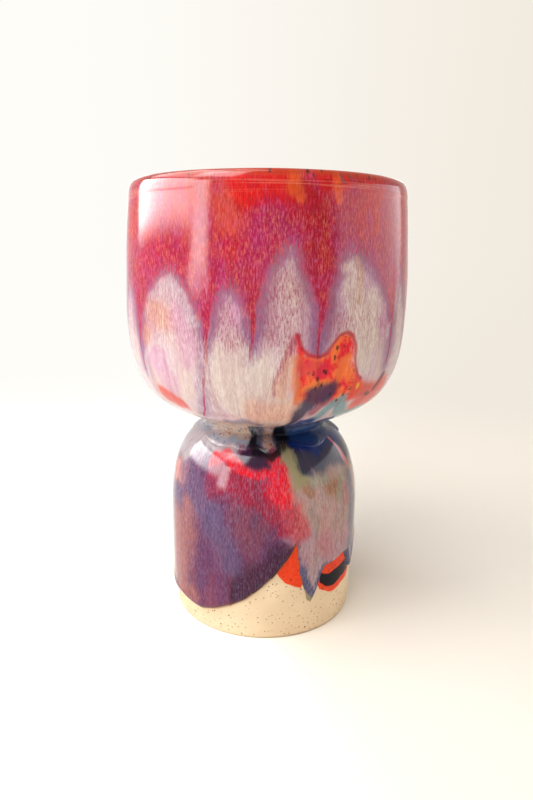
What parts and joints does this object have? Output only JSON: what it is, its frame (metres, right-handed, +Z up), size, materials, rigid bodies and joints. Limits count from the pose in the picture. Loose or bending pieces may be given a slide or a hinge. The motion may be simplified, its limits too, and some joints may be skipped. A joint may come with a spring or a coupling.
{
  "type": "pottery goblet",
  "caption": "Footed stoneware goblet: a deep round bowl luted to a hollow drum-shaped foot, with crimson and lavender run glazes over bare speckled clay at the base.",
  "frame": {"origin": "centre of the foot's resting ring, on the table", "axes": "+Z up along the throwing axis; -Y is the side the picture shows, +X is to its right"},
  "size_m": [0.0956, 0.0956, 0.1496],
  "materials": {
    "stoneware": "bare, matt, with iron speckles",
    "slip": "matt",
    "liner_glaze": "gloss",
    "red_glaze": "gloss, streaked",
    "pale_glaze": "gloss, streaked",
    "pool_glaze": "gloss, pooled",
    "plum_glaze": "gloss, mottled",
    "mottled_glaze": "gloss, mottled"
  },
  "bodies": {
    "root": {"pedestal_body": "stoneware", "slip_joint": "slip", "bowl_body": "stoneware", "liner_glaze": "liner_glaze", "red_glaze": "red_glaze", "pale_glaze": "pale_glaze", "neck_pool_glaze": "pool_glaze", "plum_glaze": "plum_glaze", "mottled_glaze": "mottled_glaze"}
  },
  "joints": []
}
